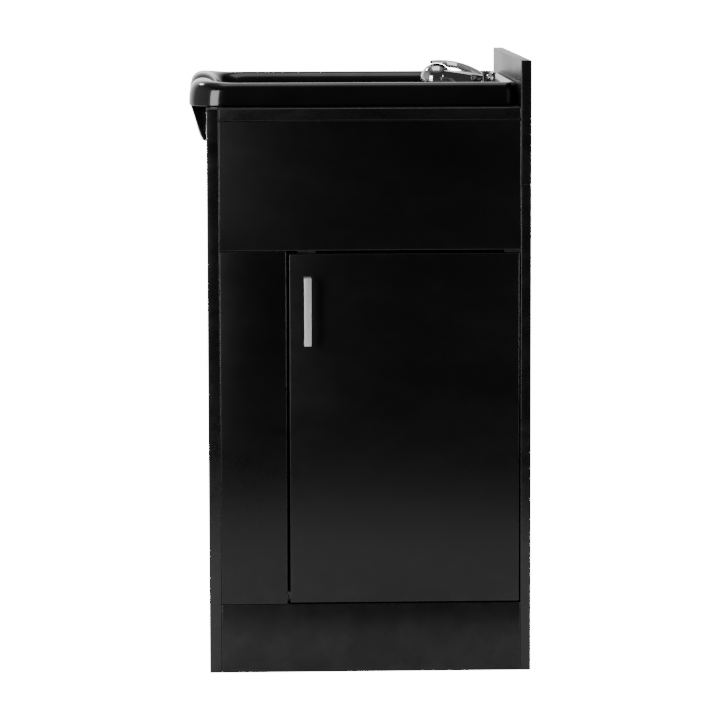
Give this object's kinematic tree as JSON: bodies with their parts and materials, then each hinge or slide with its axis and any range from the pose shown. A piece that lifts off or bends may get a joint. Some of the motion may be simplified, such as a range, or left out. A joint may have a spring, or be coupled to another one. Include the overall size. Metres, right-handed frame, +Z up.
{
  "type": "shampoo backwash unit",
  "caption": "Salon backwash unit: laminated cabinet with a hinged side door, moulded black bowl with a neck rest, lever mixer, waste trap and stop valves.",
  "frame": {"origin": "middle of the overall box, on the floor", "axes": "+Z up, -X towards the client's neck rest, +X towards the wall and backsplash, -Y the side with the door"},
  "size_m": [0.5386, 0.6396, 0.971],
  "materials": {
    "laminate": "satin black melamine",
    "bowl_plastic": "polished black moulding",
    "chrome": "polished",
    "satin_metal": "satin",
    "nickel": "nickel plated",
    "steel": "zinc plated",
    "stainless": "polished",
    "brass": "turned",
    "braid": "woven braid",
    "rubber": "matte",
    "white_plastic": "moulded"
  },
  "bodies": {
    "unit": {"front_panel": "laminate", "back_panel": "laminate", "backsplash": "laminate", "deck_board": "laminate", "apron_panel": "laminate", "stile_panel": "laminate", "kick_panel": "laminate", "far_side_panel": "laminate", "bottom_shelf": "laminate", "deck_rail_near": "laminate", "deck_rail_far": "laminate", "joining_rail": "laminate", "hinge_plate_upper": "nickel", "hinge_plate_lower": "nickel", "hinge_arm_upper": "nickel", "hinge_arm_lower": "nickel", "catch_upper": "nickel", "catch_lower": "white_plastic", "corner_bracket": "steel", "bowl": "bowl_plastic", "mixer_body": "chrome", "mixer_shank_cold": "brass", "mixer_shank_hot": "brass", "shank_nut_cold": "brass", "shank_nut_hot": "brass", "spray_nipple": "chrome", "nipple_nut": "brass", "drain_strainer": "stainless", "drain_washer": "rubber", "drain_nut": "white_plastic", "tailpiece": "white_plastic", "slip_nut_upper": "white_plastic", "slip_nut_middle": "white_plastic", "slip_nut_lower": "white_plastic", "trap_bend": "white_plastic", "trap_arm": "white_plastic", "pipe_cover": "chrome", "stop_valve_cold": "chrome", "stop_valve_hot": "chrome", "supply_hose_cold": "braid", "supply_hose_hot": "braid"},
    "door_leaf": {"door": "laminate", "door_handle": "satin_metal", "handle_screw_upper": "steel", "handle_screw_lower": "steel", "hinge_cup_upper": "nickel", "hinge_cup_lower": "nickel", "strike_upper": "steel", "strike_lower": "steel"},
    "mixer_cap": {"mixer_dome": "chrome"},
    "lever": {"mixer_lever": "chrome", "mixer_ball": "steel"},
    "cold_stop": {"stop_handle_cold": "chrome"},
    "hot_stop": {"stop_handle_hot": "chrome"}
  },
  "joints": [
    {"name": "door_hinge", "type": "hinge", "parent": "unit", "child": "door_leaf", "pos_m": [0.25055, -0.2898, 0.39], "axis": [0, 0, 1], "range_deg": [0, 105]},
    {"name": "mixer_swivel", "type": "hinge", "parent": "unit", "child": "mixer_cap", "pos_m": [0.13625, 0.015, 0.9306], "axis": [0, 0, 1], "range_deg": [-40, 40]},
    {"name": "lever_lift", "type": "hinge", "parent": "mixer_cap", "child": "lever", "pos_m": [0.13625, 0.015, 0.9306], "axis": [0, -1, 0], "range_deg": [0, 18]},
    {"name": "cold_stop_turn", "type": "hinge", "parent": "unit", "child": "cold_stop", "pos_m": [0.20665, -0.095, 0.4], "axis": [1, 0, 0], "range_deg": [0, 90]},
    {"name": "hot_stop_turn", "type": "hinge", "parent": "unit", "child": "hot_stop", "pos_m": [0.20665, 0.125, 0.4], "axis": [1, 0, 0], "range_deg": [0, 90]}
  ]
}
